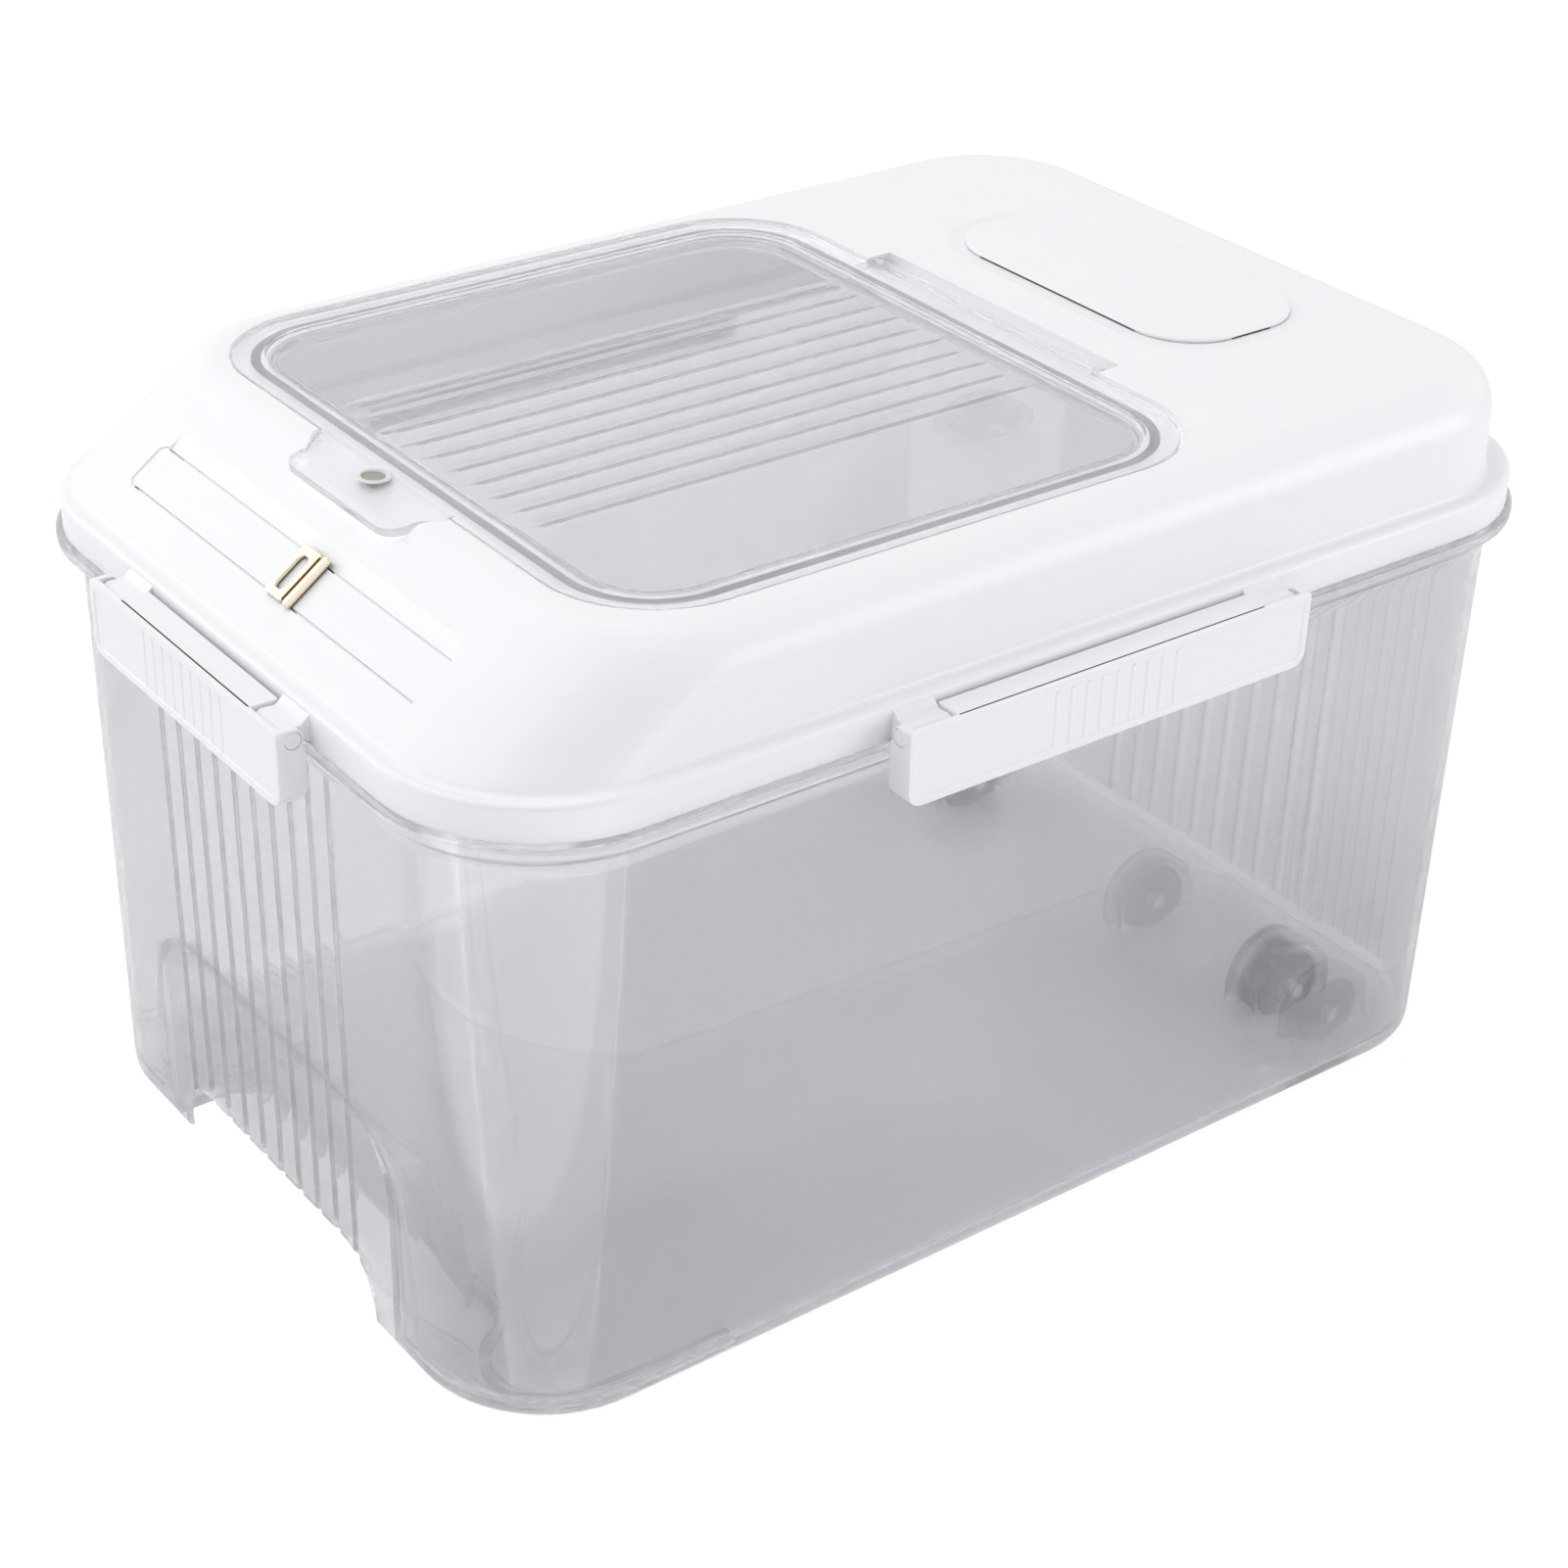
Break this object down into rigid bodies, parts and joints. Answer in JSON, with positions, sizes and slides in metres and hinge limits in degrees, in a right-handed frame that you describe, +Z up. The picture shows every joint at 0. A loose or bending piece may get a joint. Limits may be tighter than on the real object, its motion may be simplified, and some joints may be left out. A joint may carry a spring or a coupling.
{
  "type": "rice bin with flip lid",
  "caption": "Clear smoky rice bin on two rear wheels, with a white domed lid, a clear flip window, a gold date slider and swing clips on all four sides",
  "frame": {"origin": "centre of the bin's footprint, on the ground", "axes": "+Z up, +Y from the front with the hand recess to the rear with the wheels, +X to the right seen from the front"},
  "size_m": [0.2912, 0.4188, 0.244],
  "materials": {
    "clear_smoke": "clear moulded plastic with a faint grey-lavender tint",
    "clear_flap": "clear moulded plastic",
    "white_plastic": "satin white",
    "silicone": "translucent white silicone",
    "gold": "polished gold plating",
    "wheel_grey": "dark grey moulded plastic",
    "pin_plastic": "natural white moulded plastic"
  },
  "bodies": {
    "bin": {"bin_body": "clear_smoke", "wheel_axle_left": "pin_plastic", "wheel_axle_right": "pin_plastic"},
    "lid": {"lid_shell": "white_plastic", "lid_seal": "silicone", "window_seal": "silicone", "window_hinge_pin_left": "pin_plastic", "window_hinge_pin_right": "pin_plastic", "clip_pins_front": "pin_plastic", "clip_pins_rear": "pin_plastic", "clip_pins_left": "pin_plastic", "clip_pins_right": "pin_plastic"},
    "window": {"window_flap": "clear_flap", "flap_buffer": "silicone"},
    "slider": {"date_slider": "gold"},
    "front_clip": {"clip_front": "white_plastic"},
    "rear_clip": {"clip_rear": "white_plastic"},
    "left_clip": {"clip_left": "white_plastic"},
    "right_clip": {"clip_right": "white_plastic"},
    "left_wheel": {"wheel_left": "wheel_grey"},
    "right_wheel": {"wheel_right": "wheel_grey"}
  },
  "joints": [
    {"name": "lid_lift", "type": "slide", "parent": "bin", "child": "lid", "axis": [0, 0, 1], "range_m": [0, 0.0279]},
    {"name": "window_hinge", "type": "hinge", "parent": "lid", "child": "window", "pos_m": [0, 0.0707, 0.2404], "axis": [-1, 0, 0], "range_deg": [0, 105]},
    {"name": "slider_travel", "type": "slide", "parent": "lid", "child": "slider", "axis": [1, 0, 0], "range_m": [-0.078, 0.062]},
    {"name": "clip_front_swing", "type": "hinge", "parent": "lid", "child": "front_clip", "pos_m": [0, -0.2044, 0.203], "axis": [-1, 0, 0], "range_deg": [0, 100]},
    {"name": "clip_rear_swing", "type": "hinge", "parent": "lid", "child": "rear_clip", "pos_m": [0, 0.2044, 0.203], "axis": [1, 0, 0], "range_deg": [0, 100]},
    {"name": "clip_left_swing", "type": "hinge", "parent": "lid", "child": "left_clip", "pos_m": [-0.1406, 0, 0.203], "axis": [0, 1, 0], "range_deg": [0, 100]},
    {"name": "clip_right_swing", "type": "hinge", "parent": "lid", "child": "right_clip", "pos_m": [0.1406, 0, 0.203], "axis": [0, -1, 0], "range_deg": [0, 100]},
    {"name": "wheel_left_spin", "type": "hinge", "parent": "bin", "child": "left_wheel", "pos_m": [-0.084, 0.146, 0.013], "axis": [1, 0, 0], "continuous": true},
    {"name": "wheel_right_spin", "type": "hinge", "parent": "bin", "child": "right_wheel", "pos_m": [0.084, 0.146, 0.013], "axis": [1, 0, 0], "continuous": true}
  ],
  "couplings": [
    {"joint": "clip_front_swing", "follows": "lid_lift", "rad_per_m": 62.5},
    {"joint": "clip_rear_swing", "follows": "lid_lift", "rad_per_m": 62.5},
    {"joint": "clip_left_swing", "follows": "lid_lift", "rad_per_m": 62.5},
    {"joint": "clip_right_swing", "follows": "lid_lift", "rad_per_m": 62.5}
  ]
}
